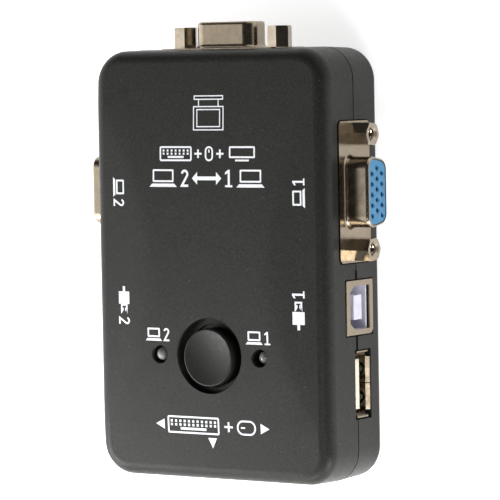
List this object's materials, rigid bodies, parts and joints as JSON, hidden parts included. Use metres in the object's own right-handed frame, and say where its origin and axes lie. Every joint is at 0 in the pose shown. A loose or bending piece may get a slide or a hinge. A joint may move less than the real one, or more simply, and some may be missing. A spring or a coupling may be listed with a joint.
{
  "type": "kvm switch",
  "caption": "Flat two-shell switch box that joins one monitor and one set of USB devices to either of two computers, with a latching push button and video and USB sockets round its edges.",
  "frame": {"origin": "under the middle of the whole object's box, on the surface that its rubber feet rest on", "axes": "+Z out of the button face, +Y towards the monitor socket's end, +X to the right as the button face is read"},
  "size_m": [0.0738, 0.1013, 0.0247],
  "materials": {
    "case_plastic": "fine textured black ABS",
    "button_plastic": "satin black ABS",
    "nickel_shell": "warm nickel plate",
    "nickel_posts": "bright nickel plate",
    "blue_insulator": "moulded blue thermoplastic",
    "pale_insulator": "moulded white thermoplastic",
    "black_moulding": "glass-filled black moulding",
    "gold_contacts": "gold flash",
    "tinned_metal": "tinned",
    "spring_steel": "drawn wire",
    "screw_steel": "black zinc",
    "circuit_board": "green solder mask",
    "switch_plunger": "white acetal",
    "small_parts": "coated components",
    "clear_lens": "water-clear epoxy",
    "foot_rubber": "moulded rubber"
  },
  "bodies": {
    "case": {"vga_right_shell": "nickel_shell", "vga_right_insulator": "blue_insulator", "vga_right_contacts": "gold_contacts", "vga_right_housing": "black_moulding", "vga_right_jack_posts": "nickel_posts", "vga_left_shell": "nickel_shell", "vga_left_insulator": "blue_insulator", "vga_left_contacts": "gold_contacts", "vga_left_housing": "black_moulding", "vga_left_jack_posts": "nickel_posts", "vga_top_shell": "nickel_shell", "vga_top_insulator": "blue_insulator", "vga_top_contacts": "gold_contacts", "vga_top_housing": "black_moulding", "vga_top_jack_posts": "nickel_posts", "usb_b_right_shell": "nickel_shell", "usb_b_right_insulator": "pale_insulator", "usb_b_right_contacts": "gold_contacts", "usb_b_left_shell": "nickel_shell", "usb_b_left_insulator": "pale_insulator", "usb_b_left_contacts": "gold_contacts", "usb_a_right_shell": "nickel_shell", "usb_a_right_insulator": "pale_insulator", "usb_a_right_contacts": "gold_contacts", "usb_a_left_shell": "nickel_shell", "usb_a_left_insulator": "pale_insulator", "usb_a_left_contacts": "gold_contacts", "usb_a_bottom_shell": "nickel_shell", "usb_a_bottom_insulator": "pale_insulator", "usb_a_bottom_contacts": "gold_contacts", "top_cover": "case_plastic", "bottom_cover": "case_plastic", "circuit_board": "circuit_board", "switch_housing": "black_moulding", "switch_terminals": "tinned_metal", "led_lens_left": "clear_lens", "led_lens_right": "clear_lens", "led_leads_left": "tinned_metal", "led_leads_right": "tinned_metal", "resistors": "small_parts", "diodes": "small_parts", "capacitors": "small_parts", "case_screws": "screw_steel", "rubber_feet": "foot_rubber"},
    "button": {"push_button": "button_plastic", "switch_plunger": "switch_plunger", "switch_bridges": "gold_contacts", "return_spring": "spring_steel"},
    "latch": {"switch_latch_wire": "spring_steel"}
  },
  "joints": [
    {"name": "button_press", "type": "slide", "parent": "case", "child": "button", "axis": [0, 0, -1], "range_m": [0, 0.0025], "stiffness_N_per_m": 600, "springref_m": -0.0015, "deforming": ["return_spring"]},
    {"name": "latch_swing", "type": "hinge", "parent": "case", "child": "latch", "pos_m": [0, -0.01384, 0.00725], "axis": [0, 1, 0], "range_deg": [-12, 12]}
  ]
}
